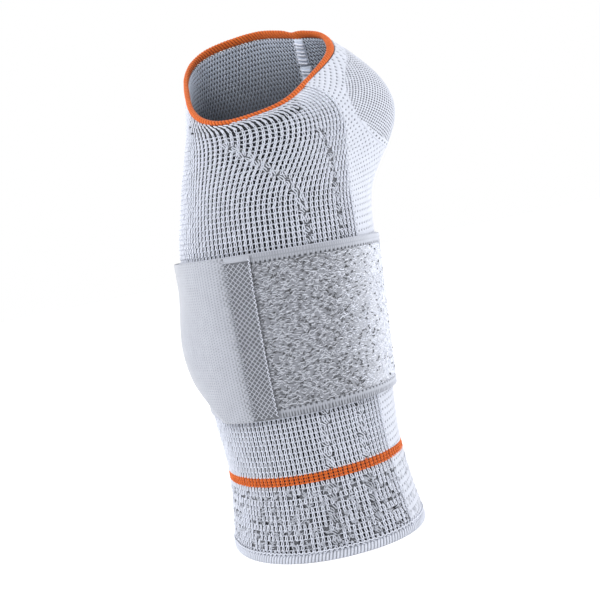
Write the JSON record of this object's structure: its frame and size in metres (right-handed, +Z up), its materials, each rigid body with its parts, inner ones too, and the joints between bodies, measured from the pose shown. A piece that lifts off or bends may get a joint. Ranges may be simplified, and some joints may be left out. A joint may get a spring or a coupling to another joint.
{
  "type": "elbow support sleeve",
  "caption": "Knitted compression elbow sleeve with a shaped pocket for the elbow point, epicondyle pads and a wide hook-and-loop forearm strap over a pressure pad.",
  "frame": {"origin": "centre of the lower (forearm) opening, in the plane of the hem", "axes": "+Z up the forearm towards the elbow, +X to the outer (lateral) side, +Y to the back of the elbow"},
  "size_m": [0.1048, 0.128, 0.2544],
  "materials": {
    "binding_grey": "dense overlock thread binding, matt",
    "cuff_knit": "relief rib knit, matt",
    "accent_orange": "dense orange yarn, matt",
    "knit_grey": "open compression knit in pale grey elastic yarn",
    "knit_fine": "fine dense knit, matt",
    "gel": "soft silicone gel, satin",
    "pocket_fabric": "fine brushed tricot",
    "seam_thread": "textured polyester thread",
    "strap_elastic": "smooth woven elastic",
    "strap_loop": "brushed loop pile for hook tape",
    "strap_edge": "smooth woven selvage",
    "strap_cover": "fine smooth stretch knit",
    "foam": "closed cell foam rubber",
    "hook_tape": "moulded hook tape",
    "strap_mesh": "open diamond mesh over hook tape"
  },
  "bodies": {
    "forearm": {"hem_binding": "binding_grey", "lower_cuff": "cuff_knit", "accent_band": "accent_orange", "forearm_sleeve": "knit_grey", "elbow_zone": "knit_grey", "elbow_cap": "knit_fine", "lateral_epicondyle_pad": "gel", "medial_epicondyle_pad": "gel", "lateral_pad_pocket": "pocket_fabric", "medial_pad_pocket": "pocket_fabric", "inner_seam_forearm": "seam_thread", "inner_seam_elbow": "seam_thread", "strap_base_wrap": "strap_elastic", "strap_loop_band": "strap_loop", "strap_lower_selvage": "strap_edge", "strap_upper_selvage": "strap_edge", "strap_anchor_stitching": "seam_thread"},
    "upper_arm": {"upper_arm_sleeve": "knit_grey", "upper_edge_binding": "accent_orange", "inner_seam_upper_arm": "seam_thread"},
    "strap_flap": {"strap_flap_cover": "strap_cover", "pressure_pad_core": "foam", "flap_backing": "pocket_fabric", "flap_hook_patch": "hook_tape"},
    "strap_tip": {"strap_tip_mesh": "strap_mesh", "tip_hook_patch": "hook_tape"}
  },
  "joints": [
    {"name": "elbow_flex", "type": "hinge", "parent": "forearm", "child": "upper_arm", "pos_m": [0, 0.005, 0.195], "axis": [1, 0, 0], "range_deg": [-15, 60], "deforming": ["elbow_zone", "elbow_cap", "inner_seam_elbow"]},
    {"name": "strap_peel", "type": "hinge", "parent": "forearm", "child": "strap_flap", "pos_m": [-0.02823, -0.04098, 0.10573], "axis": [0.0308, 0.0123, -0.9994], "range_deg": [0, 100]},
    {"name": "strap_tip_peel", "type": "hinge", "parent": "strap_flap", "child": "strap_tip", "pos_m": [0.03534, -0.03456, 0.10562], "axis": [-0.0386, 0.0074, -0.9992], "range_deg": [0, 70]}
  ]
}
